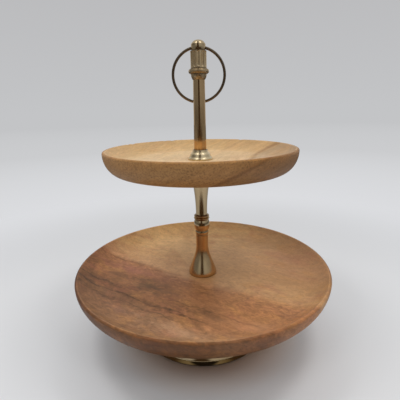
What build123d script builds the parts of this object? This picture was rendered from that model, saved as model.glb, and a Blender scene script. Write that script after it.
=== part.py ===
from build123d import *
import os
from math import asin, atan2, cos, degrees, pi, sin

# Two-tier cake stand: turned wooden trays on a brass column, with a foot below and a carry ring on top.
# Millimetres, +Z up, origin on the table under the middle of the column.

# Clearances
thread_clearance = 0.15  # round a threaded end in its tapped bore, on the radius
hole_clearance = 0.5  # round a fastener in a drilled tray or plate, on the radius
sleeve_clearance = 0.15  # between a sleeve and the spigot inside it, on the radius
bore_end_clearance = 1.5  # empty depth past the end of a threaded end
ring_rest_clearance = 0.3  # between the leaning ring and the rod
fillet_share = 0.45  # of the wall beside it that a rounding may take up

# Foot
pad_thickness = 1.5
pad_inset = 1.0  # from the edges of the foot's lip
foot_height = 53.5
foot_lip_radius = 78.5
foot_lip_width = 7.0
foot_lip_height = 10.0
foot_lip_crown = 7.5  # height of its rounded top
foot_wall = 3.0
foot_neck_radius = 22.0
foot_neck_drop = 16.0  # narrowest place, below the foot's top
foot_flange_radius = 40.0
foot_flange_thickness = 3.5  # at its edge
foot_plate_thickness = 4.0  # that the bolt clamps

# Trays
lower_tray_radius = 150.0
lower_tray_height = 33.0
lower_tray_corner = 37.0  # run of the rounded outer corner
lower_dish_depth = 15.0
lower_floor_radius = 115.0  # flat part of the floor
upper_tray_radius = 107.6
upper_tray_height = 25.3
upper_tray_corner = 18.5
upper_dish_depth = 13.4
upper_floor_radius = 80.0
tray_rim_round = 2.0  # radius of the rounded rim

# Column
post_height = 51.1
post_base_radius = 16.9
post_lip_height = 3.2
post_lip_round = 1.2
post_neck_radius = 7.35
post_neck_height = 14.1  # straight part above the flare
post_flare_slope = 0.31  # radius gained per height lost, where the flare meets the lip
neck_ring_radius = 7.95
neck_ring_height = 5.0
knop_radius = 9.3
knop_height = 14.2
collar_radius = 9.3
collar_disc_height = 2.4
collar_shoulder_radius = 8.9
collar_shoulder_height = 3.0
bead_seat_radius = 7.2  # where the turned beads meet each other
stem_height = 53.8
stem_radius = 6.7
stem_neck_height = 3.0  # straight part below the flare
stem_flare_radius = 12.2
stem_lip_radius = 14.0
stem_lip_height = 2.6

# Handle
bell_height = 11.1
bell_base_radius = 14.1
bell_edge_height = 1.2
bell_top_radius = 8.1
bell_waist_radius = 11.5
bell_waist_height = 4.9
rod_height = 74.1
rod_bottom_radius = 6.95
rod_top_radius = 6.4
spigot_radius = 4.0
spigot_recess = 2.0  # below the top of the fluted sleeve
cup_height = 5.9
cup_radius = 8.5
cup_foot_radius = 6.6
bead_radius = 11.0
bead_height = 5.0
capital_height = 17.5
capital_radius = 8.6
flute_count = 12
flute_radius = 2.0
flute_depth = 0.75
flute_margin = 1.2  # plain band above and below the flutes
finial_height = 11.0
finial_radius = 7.8
finial_crown = 6.2  # height of the ball above its widest place
finial_depth = 12.0  # from its widest place to where its lower curve would close, below its flat bottom
finial_points = 5  # that each of its curves passes through

# Carry ring
ring_radius = 27.85  # to the middle of the wire
ring_wire_radius = 1.5
ring_hole_radius = 2.5
ring_hole_height = 3.4  # above the bottom of the finial
ring_rise = 0.5  # of the wire above the hole's axis, at the middle of the hole

# Fasteners
bolt_radius = 4.0
bolt_flats = 13.0
bolt_head_height = 5.5
bolt_head_chamfer = 1.2
bolt_engagement = 28.0  # in the lower post
flat_washer_radius = 12.0
flat_washer_thickness = 1.6
lock_washer_radius = 7.4
lock_washer_thickness = 2.0
lock_washer_gap = 1.5
stud_radius = 3.0
stud_chamfer = 0.6
column_stud_in_post = 10.0
column_stud_in_stem = 14.0
handle_stud_in_stem = 16.0
handle_stud_in_rod = 16.0
finial_shank_radius = 2.5
finial_shank_length = 14.0

# Heights of the joints, from the table up
foot_bottom = pad_thickness
foot_top = foot_bottom + foot_height
lower_floor = foot_top + lower_tray_height - lower_dish_depth
post_top = lower_floor + post_height
knop_bottom = post_top + neck_ring_height
collar_bottom = knop_bottom + knop_height
stem_bottom = collar_bottom + collar_disc_height + collar_shoulder_height
stem_top = stem_bottom + stem_height
upper_floor = stem_top + upper_tray_height - upper_dish_depth
rod_bottom = upper_floor + bell_height
cup_bottom = rod_bottom + rod_height
bead_bottom = cup_bottom + cup_height
capital_bottom = bead_bottom + bead_height
finial_bottom = capital_bottom + capital_height
finial_top = finial_bottom + finial_height

# Bores shared by the pieces that a fastener passes through
bolt_bore = bolt_radius + thread_clearance
bolt_hole = bolt_radius + hole_clearance
stud_bore = stud_radius + thread_clearance
stud_hole = stud_radius + hole_clearance
sleeve_bore = spigot_radius + sleeve_clearance
shank_bore = finial_shank_radius + thread_clearance

# Fasteners from end to end
plate_bottom = foot_top - foot_plate_thickness
flat_washer_bottom = plate_bottom - flat_washer_thickness
bolt_head_top = flat_washer_bottom - lock_washer_thickness
bolt_top = lower_floor + bolt_engagement
column_stud_bottom = post_top - column_stud_in_post
column_stud_top = stem_bottom + column_stud_in_stem
handle_stud_bottom = stem_top - handle_stud_in_stem
handle_stud_top = rod_bottom + handle_stud_in_rod
spigot_top = finial_bottom - spigot_recess
shank_bottom = finial_bottom - finial_shank_length

# The ring hangs in its hole and leans on the back of the rod
hinge_height = finial_bottom + ring_hole_height
ring_hang = ring_radius - ring_rise  # hole's axis to the middle of the ring
ring_drop = ring_hang + ring_radius  # hole's axis to the lowest wire
rod_taper = (rod_bottom_radius - rod_top_radius) / rod_height
rod_radius_at_ring = rod_top_radius + rod_taper * (cup_bottom - hinge_height + ring_drop)
ring_lean = asin((rod_radius_at_ring + ring_wire_radius + ring_rest_clearance) / ring_drop)
print("ring leans", round(degrees(ring_lean), 3), "degrees, hinge height", round(hinge_height, 3))
print("ring swings", round(360 - 2 * degrees(ring_lean), 3), "degrees from back to front")


def outline_ring(inner, outer, bottom, top):
    # rectangle from one radius to another, to be turned about the column's axis
    Polyline((inner, bottom), (outer, bottom), (outer, top), (inner, top), close=True)


def outline_bead(bottom, height, radius, seat, bore):
    # ring whose outside bulges as half an ellipse
    middle = bottom + height / 2
    EllipticalCenterArc((seat, middle), radius - seat, height / 2, -90, arc_size=180)
    Polyline((seat, bottom + height), (bore, bottom + height), (bore, bottom), (seat, bottom))


def outline_tray(bottom, radius, height, corner, dish_depth, floor_radius, hole):
    # rounded outer corner, round rim, and an inside whose arc touches both the rim and the flat floor
    shoulder = bottom + height - tray_rim_round
    rim_middle = radius - tray_rim_round
    floor = bottom + height - dish_depth
    run, rise = rim_middle - floor_radius, shoulder - floor
    dish = (run**2 + rise**2 - tray_rim_round**2) / (2 * (rise + tray_rim_round))
    slope = degrees(atan2(run, dish - rise))
    EllipticalCenterArc((radius - corner, shoulder), corner, shoulder - bottom, -90)
    CenterArc((rim_middle, shoulder), tray_rim_round, 0, 90 + slope)
    CenterArc((floor_radius, floor + dish), dish, -90, slope)
    Polyline((floor_radius, floor), (hole, floor), (hole, bottom), (radius - corner, bottom))


def bore_out(radius, bottom, top):
    # round bore along the column's axis, cut from the part being built
    with BuildSketch(Plane.XY.offset(bottom)) as bore:
        Circle(radius)
    extrude(bore.sketch, amount=top - bottom, mode=Mode.SUBTRACT)


# Felt ring under the foot
with BuildPart() as foot_pad:
    with BuildSketch():
        Circle(foot_lip_radius - pad_inset)
        Circle(foot_lip_radius - foot_lip_width + pad_inset, mode=Mode.SUBTRACT)
    extrude(amount=pad_thickness)

# Hollow pedestal foot with a rounded lip, a flared skirt and a top plate
with BuildPart() as foot:
    skirt = foot_lip_radius - foot_lip_width
    lip_top = foot_bottom + foot_lip_height
    neck = foot_top - foot_neck_drop
    flange_bottom = foot_top - foot_flange_thickness
    flare_run = skirt - foot_neck_radius
    flare_rise = neck - lip_top
    with BuildSketch(Plane.XZ):
        with BuildLine():
            Polyline((skirt, lip_top - foot_wall), (skirt, foot_bottom), (foot_lip_radius, foot_bottom),
                     (foot_lip_radius, lip_top - foot_lip_crown))
            EllipticalCenterArc((skirt, lip_top - foot_lip_crown), foot_lip_width, foot_lip_crown)
            EllipticalCenterArc((skirt, neck), flare_run, flare_rise, 180)
            EllipticalCenterArc(
                (foot_flange_radius, neck), foot_flange_radius - foot_neck_radius, flange_bottom - neck, 90
            )
            Polyline((foot_flange_radius, flange_bottom), (foot_flange_radius, foot_top),
                     (bolt_hole, foot_top), (bolt_hole, plate_bottom),
                     (foot_neck_radius - foot_wall, plate_bottom), (foot_neck_radius - foot_wall, neck))
            EllipticalCenterArc((skirt, neck), flare_run + foot_wall, flare_rise + foot_wall, 180)
        make_face()
    revolve(axis=Axis.Z)

# Bolt through the foot and the lower tray into the post, with its washers
with BuildPart() as tie_bolt:
    bolt_head_bottom = bolt_head_top - bolt_head_height
    with BuildSketch(Plane.XY.offset(bolt_head_bottom)):
        RegularPolygon(bolt_flats / 2, 6, major_radius=False)
    extrude(amount=bolt_head_height)
    with BuildSketch(Plane.XZ):
        with BuildLine():
            Polyline((0, bolt_head_top), (bolt_flats, bolt_head_top),
                     (bolt_flats, bolt_head_bottom + bolt_head_chamfer),
                     (bolt_flats / 2, bolt_head_bottom), (0, bolt_head_bottom), close=True)
        make_face()
    revolve(axis=Axis.Z, mode=Mode.INTERSECT)
    with BuildSketch(Plane.XY.offset(bolt_head_top)):
        Circle(bolt_radius)
    extrude(amount=bolt_top - bolt_head_top)
    chamfer(tie_bolt.edges().sort_by(Axis.Z)[-1], length=stud_chamfer)

with BuildPart() as flat_washer:
    with BuildSketch(Plane.XY.offset(flat_washer_bottom)):
        Circle(flat_washer_radius)
        Circle(bolt_hole, mode=Mode.SUBTRACT)
    extrude(amount=flat_washer_thickness)

with BuildPart() as lock_washer:
    with BuildSketch(Plane.XY.offset(bolt_head_top)):
        Circle(lock_washer_radius)
        Circle(bolt_hole, mode=Mode.SUBTRACT)
        with Locations((lock_washer_radius, 0)):
            Rectangle(2 * lock_washer_radius, lock_washer_gap, mode=Mode.SUBTRACT)
    extrude(amount=lock_washer_thickness)

# Large tray
with BuildPart() as lower_tray:
    with BuildSketch(Plane.XZ):
        with BuildLine():
            outline_tray(foot_top, lower_tray_radius, lower_tray_height, lower_tray_corner,
                         lower_dish_depth, lower_floor_radius, bolt_hole)
        make_face()
    revolve(axis=Axis.Z)

# Trumpet post that stands on the floor of the large tray
with BuildPart() as lower_post:
    flare_top = post_top - post_neck_height
    with BuildSketch(Plane.XZ):
        with BuildLine():
            Spline((post_neck_radius, flare_top), (post_base_radius, lower_floor + post_lip_height),
                   tangents=((0, -1), (post_flare_slope, -1)))
            Polyline((post_base_radius, lower_floor + post_lip_height), (post_base_radius, lower_floor),
                     (0, lower_floor), (0, post_top), (post_neck_radius, post_top),
                     (post_neck_radius, flare_top))
        make_face()
    revolve(axis=Axis.Z)
    base_edges = lower_post.edges().filter_by(GeomType.CIRCLE).sort_by(SortBy.RADIUS)[-2:]
    fillet(base_edges, radius=min(post_lip_round, fillet_share * post_lip_height))
    bore_out(bolt_bore, lower_floor, bolt_top + bore_end_clearance)
    bore_out(stud_bore, column_stud_bottom - bore_end_clearance, post_top)

# Turned beads of the collar, stacked on the column's stud
with BuildPart() as neck_ring:
    with BuildSketch(Plane.XZ):
        with BuildLine():
            outline_bead(post_top, neck_ring_height, neck_ring_radius, post_neck_radius, stud_bore)
        make_face()
    revolve(axis=Axis.Z)

with BuildPart() as knop:
    with BuildSketch(Plane.XZ):
        with BuildLine():
            outline_bead(knop_bottom, knop_height, knop_radius, bead_seat_radius, stud_bore)
        make_face()
    revolve(axis=Axis.Z)

with BuildPart() as collar_ring:
    with BuildSketch(Plane.XZ):
        with BuildLine():
            outline_bead(collar_bottom, collar_disc_height, collar_radius, bead_seat_radius, stud_bore)
        make_face()
        with BuildLine():
            outline_bead(collar_bottom + collar_disc_height, collar_shoulder_height,
                         collar_shoulder_radius, bead_seat_radius, stud_bore)
        make_face()
    revolve(axis=Axis.Z)

with BuildPart() as column_stud:
    with BuildSketch(Plane.XY.offset(column_stud_bottom)):
        Circle(stud_radius)
    extrude(amount=column_stud_top - column_stud_bottom)
    chamfer(column_stud.edges().filter_by(GeomType.CIRCLE), length=stud_chamfer)

# Stem that flares out under the small tray
with BuildPart() as upper_stem:
    flare_bottom = stem_bottom + stem_neck_height
    lip_bottom = stem_top - stem_lip_height
    with BuildSketch(Plane.XZ):
        with BuildLine():
            TangentArc((stem_radius, flare_bottom), (stem_flare_radius, lip_bottom), tangent=(0, 1))
            Polyline((stem_flare_radius, lip_bottom), (stem_lip_radius, lip_bottom),
                     (stem_lip_radius, stem_top), (0, stem_top), (0, stem_bottom),
                     (stem_radius, stem_bottom), (stem_radius, flare_bottom))
        make_face()
    revolve(axis=Axis.Z)
    bore_out(stud_bore, stem_bottom, column_stud_top + bore_end_clearance)
    bore_out(stud_bore, handle_stud_bottom - bore_end_clearance, stem_top)

# Small tray
with BuildPart() as upper_tray:
    with BuildSketch(Plane.XZ):
        with BuildLine():
            outline_tray(stem_top, upper_tray_radius, upper_tray_height, upper_tray_corner,
                         upper_dish_depth, upper_floor_radius, stud_hole)
        make_face()
    revolve(axis=Axis.Z)

with BuildPart() as handle_stud:
    with BuildSketch(Plane.XY.offset(handle_stud_bottom)):
        Circle(stud_radius)
    extrude(amount=handle_stud_top - handle_stud_bottom)
    chamfer(handle_stud.edges().filter_by(GeomType.CIRCLE), length=stud_chamfer)

# Bell flange on the floor of the small tray
with BuildPart() as handle_bell:
    edge_top = upper_floor + bell_edge_height
    waist = upper_floor + bell_waist_height
    with BuildSketch(Plane.XZ):
        with BuildLine():
            slope = Line((bell_base_radius, edge_top), (bell_waist_radius, waist))
            TangentArc(slope @ 1, (bell_top_radius, rod_bottom), tangent=slope % 1)
            Polyline((bell_top_radius, rod_bottom), (stud_hole, rod_bottom), (stud_hole, upper_floor),
                     (bell_base_radius, upper_floor), (bell_base_radius, edge_top))
        make_face()
    revolve(axis=Axis.Z)

# Tapered rod with a spigot that carries the capital
with BuildPart() as handle_rod:
    with BuildSketch(Plane.XZ):
        with BuildLine():
            Polyline((0, rod_bottom), (rod_bottom_radius, rod_bottom), (rod_top_radius, cup_bottom),
                     (spigot_radius, cup_bottom), (spigot_radius, spigot_top), (0, spigot_top), close=True)
        make_face()
    revolve(axis=Axis.Z)
    bore_out(stud_bore, rod_bottom, handle_stud_top + bore_end_clearance)
    bore_out(shank_bore, shank_bottom - bore_end_clearance, spigot_top)

# Capital: cup, bead and fluted sleeve, stacked on the spigot
with BuildPart() as capital_cup:
    with BuildSketch(Plane.XZ):
        with BuildLine():
            TangentArc((cup_radius, bead_bottom), (cup_foot_radius, cup_bottom), tangent=(0, -1))
            Polyline((cup_foot_radius, cup_bottom), (sleeve_bore, cup_bottom), (sleeve_bore, bead_bottom),
                     (cup_radius, bead_bottom))
        make_face()
    revolve(axis=Axis.Z)

with BuildPart() as capital_bead:
    with BuildSketch(Plane.XZ):
        with BuildLine():
            outline_bead(bead_bottom, bead_height, bead_radius, capital_radius, sleeve_bore)
        make_face()
    revolve(axis=Axis.Z)

with BuildPart() as capital:
    with BuildSketch(Plane.XZ):
        with BuildLine():
            outline_ring(sleeve_bore, capital_radius, capital_bottom, finial_bottom)
        make_face()
    revolve(axis=Axis.Z)
    flute_circle = capital_radius - flute_depth + flute_radius
    flute_low = capital_bottom + flute_margin + flute_radius
    flute_high = finial_bottom - flute_margin
    with BuildSketch(Plane.XY.offset(flute_low)):
        with PolarLocations(flute_circle, flute_count):
            Circle(flute_radius)
    extrude(amount=flute_high - flute_low, mode=Mode.SUBTRACT)
    with Locations(Plane.XY.offset(flute_low)):
        with PolarLocations(flute_circle, flute_count):
            Sphere(flute_radius, mode=Mode.SUBTRACT)

# Button finial: a ball cut flat below, with a threaded shank and a cross hole for the ring
with BuildPart() as finial:
    widest = finial_top - finial_crown
    flat_turn = asin((widest - finial_bottom) / finial_depth)  # where the flat cuts the lower curve
    steps = [step / (finial_points - 1) for step in range(finial_points)]
    crown_turns = [pi / 2 * step for step in steps]
    crown = [(finial_radius * sin(turn), widest + finial_crown * cos(turn)) for turn in crown_turns]
    under_turns = [flat_turn * step for step in steps]
    under = [(finial_radius * cos(turn), widest - finial_depth * sin(turn)) for turn in under_turns]
    under_slope = (-finial_radius * sin(flat_turn), -finial_depth * cos(flat_turn))
    with BuildSketch(Plane.XZ):
        with BuildLine():
            Spline(*crown, tangents=((1, 0), (0, -1)))
            Spline(*under, tangents=((0, -1), under_slope))
            Polyline(under[-1], (finial_shank_radius, finial_bottom), (finial_shank_radius, shank_bottom),
                     (0, shank_bottom), (0, finial_top))
        make_face()
    revolve(axis=Axis.Z)
    with BuildSketch(Plane.YZ):
        with Locations((0, hinge_height)):
            Circle(ring_hole_radius)
    extrude(amount=2 * finial_radius, both=True, mode=Mode.SUBTRACT)

# Carry ring, leaning back on the rod
ring_middle = (0, ring_hang * sin(ring_lean), hinge_height - ring_hang * cos(ring_lean))
ring_plane = Plane(origin=ring_middle, x_dir=(1, 0, 0), z_dir=(0, cos(ring_lean), sin(ring_lean)))
with BuildPart(ring_plane) as carry_ring:
    Torus(ring_radius, ring_wire_radius)

pieces = {
    "foot_pad": foot_pad,
    "foot": foot,
    "tie_bolt": tie_bolt,
    "flat_washer": flat_washer,
    "lock_washer": lock_washer,
    "lower_tray": lower_tray,
    "lower_post": lower_post,
    "neck_ring": neck_ring,
    "knop": knop,
    "collar_ring": collar_ring,
    "column_stud": column_stud,
    "upper_stem": upper_stem,
    "upper_tray": upper_tray,
    "handle_stud": handle_stud,
    "handle_bell": handle_bell,
    "handle_rod": handle_rod,
    "capital_cup": capital_cup,
    "capital_bead": capital_bead,
    "capital": capital,
    "finial": finial,
    "carry_ring": carry_ring,
}
os.makedirs("parts", exist_ok=True)
for name, piece in pieces.items():
    piece.part.label = name
    export_step(piece.part, f"parts/{name}.step")
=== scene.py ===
import functools
import math
import bpy
import numpy as np
from mathutils import Matrix, Vector


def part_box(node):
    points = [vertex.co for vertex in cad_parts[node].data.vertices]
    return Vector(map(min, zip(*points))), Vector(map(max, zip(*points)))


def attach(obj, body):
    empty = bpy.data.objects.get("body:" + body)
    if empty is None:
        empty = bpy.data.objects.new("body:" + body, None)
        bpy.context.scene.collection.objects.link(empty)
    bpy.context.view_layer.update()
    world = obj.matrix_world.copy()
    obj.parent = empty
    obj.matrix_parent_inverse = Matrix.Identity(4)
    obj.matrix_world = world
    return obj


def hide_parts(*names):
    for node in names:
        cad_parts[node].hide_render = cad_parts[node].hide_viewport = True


# Two-tier cake stand: mango wood trays on a polished brass column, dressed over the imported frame.
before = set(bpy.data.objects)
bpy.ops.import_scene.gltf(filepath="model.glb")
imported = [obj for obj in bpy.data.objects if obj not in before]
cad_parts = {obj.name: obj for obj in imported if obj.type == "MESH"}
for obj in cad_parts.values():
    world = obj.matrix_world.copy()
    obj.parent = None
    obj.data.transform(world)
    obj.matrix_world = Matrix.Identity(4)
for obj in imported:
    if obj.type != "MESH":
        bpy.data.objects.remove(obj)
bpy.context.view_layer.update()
scene = bpy.context.scene
mm = 0.001  # sizes are written in millimetres and meshes are in metres
hair = 0.01  # mm: left between the ends of a closed path, and what counts as touching
print("frame loaded:", len(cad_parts), "nodes")


def linearColour(code):  # sRGB hex to linear red, green, blue, alpha
    channel = np.array([int(code[i:i + 2], 16) for i in (1, 3, 5)]) / 255
    linear = np.where(channel <= 0.04045, channel / 12.92, ((channel + 0.055) / 1.055) ** 2.4)
    return (*linear.tolist(), 1.0)


nodeModes = {"Mix": "data_type", "MapRange": "interpolation_type"}  # others have an operation


def addNode(tree, kind, inputs=(), output=0, stops=(), **settings):
    # one node of a kind and, after a space, its mode, with its inputs in order or by socket (links, values or
    # hex colours), the stops of a colour ramp and other settings; gives back the output that is asked for
    kind, *mode = kind.split()
    node = tree.nodes.new("ShaderNode" + kind)
    if mode:
        settings[nodeModes.get(kind, "operation")] = mode[0]
    for key, value in settings.items():
        setattr(node, key, value)
    for count, (place, colour) in enumerate(stops):
        ramp = node.color_ramp.elements
        element = ramp[count] if count < 2 else ramp.new(place)
        element.position = place
        element.color = linearColour(colour) if isinstance(colour, str) else (colour, colour, colour, 1.0)
    for key, value in inputs.items() if isinstance(inputs, dict) else enumerate(inputs):
        if isinstance(value, bpy.types.NodeSocket):
            tree.links.new(value, node.inputs[key])
        else:
            node.inputs[key].default_value = linearColour(value) if isinstance(value, str) else value
    return node.outputs[output] if len(node.outputs) else None


def emptyTree(owner):  # clears the nodes of a material or world, and gives back what adds new ones
    owner.use_nodes = True
    owner.node_tree.nodes.clear()
    return functools.partial(addNode, owner.node_tree)


def newMaterial(name):  # empty material, what adds its nodes, and its Object coordinates
    material = bpy.data.materials.new(name)
    add = emptyTree(material)
    return material, add, add("TexCoord", output="Object")


def nodeSpan(node):  # lowest height, highest height and outer radius of a CAD node, in millimetres
    low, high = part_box(node)
    return low.z / mm, high.z / mm, high.x / mm


# Camera, solved from the two tray rims of the photograph

cameraView = {
    "place": (0.0, -371.4, 269.0),  # mm
    "pitch": 15.48, "yaw": -0.37, "roll": -1.25,  # degrees: downwards, to the right, and over
    "focalPixels": 326.8, "framePixels": 400, "shift": 0.0018,
    "sensor": 36.0, "nearest": 10.0,  # mm
}


def addCamera(view):
    # right, up and backward axes from the pitch, yaw and roll
    pitch, yaw, roll = (math.radians(view[key]) for key in ("pitch", "yaw", "roll"))
    level = Vector((math.cos(yaw), -math.sin(yaw), 0))
    ahead = Vector((math.sin(yaw), math.cos(yaw), 0))
    forward = math.cos(pitch) * ahead - math.sin(pitch) * Vector((0, 0, 1))
    above = math.sin(pitch) * ahead + math.cos(pitch) * Vector((0, 0, 1))
    right = math.cos(roll) * level + math.sin(roll) * above
    up = math.cos(roll) * above - math.sin(roll) * level
    turn = Matrix((right, up, -forward)).transposed().to_4x4()
    data = bpy.data.cameras.new("photoCamera")
    data.sensor_width = view["sensor"]
    data.lens = view["focalPixels"] / view["framePixels"] * view["sensor"]
    data.shift_x = view["shift"]
    data.clip_start = view["nearest"] * mm
    camera = bpy.data.objects.new("photoCamera", data)
    camera.matrix_world = Matrix.Translation(Vector(view["place"]) * mm) @ turn
    scene.collection.objects.link(camera)
    scene.camera = camera


addCamera(cameraView)
scene.view_settings.view_transform = "Standard"
print("camera set")


# Surfaces

def addFields(mesh, fields):  # one attribute for each key, with a value for each point
    for key, values in fields.items():
        field = mesh.attributes.new(key, "FLOAT", "POINT")
        field.data.foreach_set("value", np.ascontiguousarray(values, np.float32))


def gridObject(name, grid, material, fields=None, sharp=32):
    # quads between neighbours of grid[row, column]: columns close round the axis, a row that is one point
    # on it becomes a fan, and where there is no such row the rows close too
    rows, columns = grid.shape[:2]
    index = np.arange(rows * columns).reshape(rows, columns)
    pole = np.ptp(grid, axis=1).max(axis=1) < 1e-9
    index[pole] = index[pole][:, :1]
    used = np.unique(index)
    renumber = np.zeros(rows * columns, int)
    renumber[used] = np.arange(len(used))
    index = renumber[index]
    if not pole.any():
        index = np.vstack([index, index[:1]])
    here, after = index[:-1], index[1:]
    quads = np.stack([here, np.roll(here, -1, 1), np.roll(after, -1, 1), after], axis=2).reshape(-1, 4)
    lowFan, highFan = quads[:, 0] == quads[:, 1], quads[:, 2] == quads[:, 3]
    fans = quads[lowFan][:, [0, 2, 3]].tolist() + quads[highFan][:, :3].tolist()
    mesh = bpy.data.meshes.new(name)
    mesh.from_pydata((grid.reshape(-1, 3)[used] * mm).tolist(), [], quads[~lowFan & ~highFan].tolist() + fans)
    addFields(mesh, {key: values.reshape(-1)[used] for key, values in (fields or {}).items()})
    mesh.shade_smooth()
    mesh.set_sharp_from_angle(angle=math.radians(sharp))
    mesh.materials.append(material)
    piece = bpy.data.objects.new(name, mesh)
    scene.collection.objects.link(piece)
    return piece


def dressPiece(name, grid, material, body, node, fields=None, sharp=32):  # rides in place of a CAD node
    piece = gridObject(name, grid, material, fields, sharp)
    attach(piece, body)
    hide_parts(node)
    return piece


def ellipseRun(centre, semi, start, end, count=24):
    # centre plus the semi-axes times the cosine and sine of an angle that runs from start to end
    angle = np.radians(np.linspace(start, end, count))
    return np.column_stack([centre[0] + semi[0] * np.cos(angle), centre[1] + semi[1] * np.sin(angle)])


def tangentRun(first, last, tangent, count):
    # circle through both points that leaves the first along the tangent
    first, last, tangent = (np.array(v, float) for v in (first, last, tangent))
    normal = np.array([-tangent[1], tangent[0]])
    chord = last - first
    radius = chord @ chord / (2 * (normal @ chord))
    centre = first + normal * radius
    turn = 2 * math.atan2(normal @ chord, tangent @ chord)
    angle = np.linspace(0, turn, count)
    spoke = first - centre
    return centre + np.column_stack([spoke[0] * np.cos(angle) - spoke[1] * np.sin(angle),
                                     spoke[0] * np.sin(angle) + spoke[1] * np.cos(angle)])


def splineRun(first, last, leave, arrive, count=60):
    # cubic through both points that leaves and arrives along the given ways, each as long as the chord
    first, last, leave, arrive = (np.array(v, float) for v in (first, last, leave, arrive))
    chord = np.linalg.norm(last - first)
    leave, arrive = leave * chord / np.linalg.norm(leave), arrive * chord / np.linalg.norm(arrive)
    t = np.linspace(0, 1, count)[:, None]
    return ((2 * t ** 3 - 3 * t ** 2 + 1) * first + (3 * t ** 2 - 2 * t ** 3) * last
            + (t ** 3 - 2 * t ** 2 + t) * leave + (t ** 3 - t ** 2) * arrive)


def cornerRun(before, corner, after, size, count=7, further=1.5):
    # quadratic curve that cuts the corner at the given size on both sides, with a point further out on each
    before, corner, after = (np.array(v, float) for v in (before, corner, after))
    inward = (before - corner) / np.linalg.norm(before - corner)
    outward = (after - corner) / np.linalg.norm(after - corner)
    t = np.linspace(0, 1, count)[:, None]
    start, end = corner + inward * size, corner + outward * size
    curve = (1 - t) ** 2 * start + 2 * t * (1 - t) * corner + t ** 2 * end
    return np.vstack([corner + inward * size * further, curve, corner + outward * size * further])


def joinRuns(*runs, step=2.5):
    # one path of radius and height, without doubled points and with long straight stretches divided
    path = np.vstack([np.atleast_2d(np.array(run, float)) for run in runs])
    path = path[np.r_[True, np.linalg.norm(np.diff(path, axis=0), axis=1) > 1e-5]]
    lengths = np.linalg.norm(np.diff(path, axis=0), axis=1)
    along = np.r_[0, np.cumsum(lengths)]
    parts = np.maximum(1, np.ceil(lengths / step).astype(int))
    count = np.concatenate([np.arange(n) + 1 for n in parts])
    place = np.r_[0, np.repeat(along[:-1], parts) + np.repeat(lengths / parts, parts) * count]
    return np.column_stack([np.interp(place, along, path[:, 0]), np.interp(place, along, path[:, 1])])


def boredRuns(bore, bottom, top, *runs, step=1.2):
    # closed path of a ring: the runs of its outside, and a straight bore
    return joinRuns([(bore, bottom)], *runs, [(bore, top), (bore, bottom + hair)], step=step)


def fullTurn(count):  # angles round a circle
    return np.linspace(0, 2 * np.pi, count, endpoint=False)


def turnedGrid(path, columns):
    # the path of radius and height carried round the column's axis
    angle = fullTurn(columns)
    radius, height = path[:, :1], path[:, 1:]
    return np.stack([radius * np.cos(angle), radius * np.sin(angle), height + 0 * angle], axis=2)


def turnedFields(path, columns, fade, underShade):
    # distance along the path for the turning lines, and a seam value: tarnish that fades within some mm of
    # the piece's ends, plus painted shade on a share of the surfaces that look down
    along = np.r_[0, np.cumsum(np.linalg.norm(np.diff(path, axis=0), axis=1))]
    low, high = path[:, 1].min(), path[:, 1].max()
    edge = np.minimum(path[:, 1] - low, high - path[:, 1])
    tangent = np.gradient(path, axis=0)
    down = np.clip(2 * tangent[:, 0] / np.linalg.norm(tangent, axis=1), 0, 1)
    seamAndShade = np.maximum(np.exp(-edge / fade), underShade * down)
    shape = np.ones((1, columns))
    return {"along": along[:, None] * shape, "seamAndShade": seamAndShade[:, None] * shape}


# Brass

brassFinish = {
    "bright": "#D8C29C", "warm": "#CDB288", "tarnish": "#7A6142",
    "cloud": 30.0, "lines": 0.8, "speck": 2.2,  # mm between clouds, turning lines and specks of tarnish
    "roughness": 0.08, "cloudRoughness": 0.06, "tarnishRoughness": 0.2,  # the last two are added on top
    "tarnishRange": (0.1, 0.55), "tarnishShare": 0.85,  # seam tarnish and painted shade times speck where it starts and is full
    "lineDepth": 0.05, "lineStrength": 0.03,  # depth in mm
}
capitalFinish = dict(
    brassFinish, bright="#E6D0AA", warm="#D8BC90", tarnish="#4E3B26", roughness=0.3, cloud=9.0)
postFinish = dict(brassFinish, bright="#D0B890", warm="#C4A67C", roughness=0.17)
# the rod's tones, darker and warmer than the other brass, are painted light and shade set to how the rod is
# lit
rodFinishAndLight = dict(brassFinish, bright="#D4B78C", warm="#C8A67A", tarnish="#6E5236")
# the bell's brighter tones are painted light; its higher roughness is its own
bellFinishAndLight = dict(brassFinish, bright="#F8E4BC", warm="#EED4A4", roughness=0.22)
ringFinish = dict(
    brassFinish, bright="#857866", warm="#776856", tarnish="#4A3D30", roughness=0.34, cloud=14.0)


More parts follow.
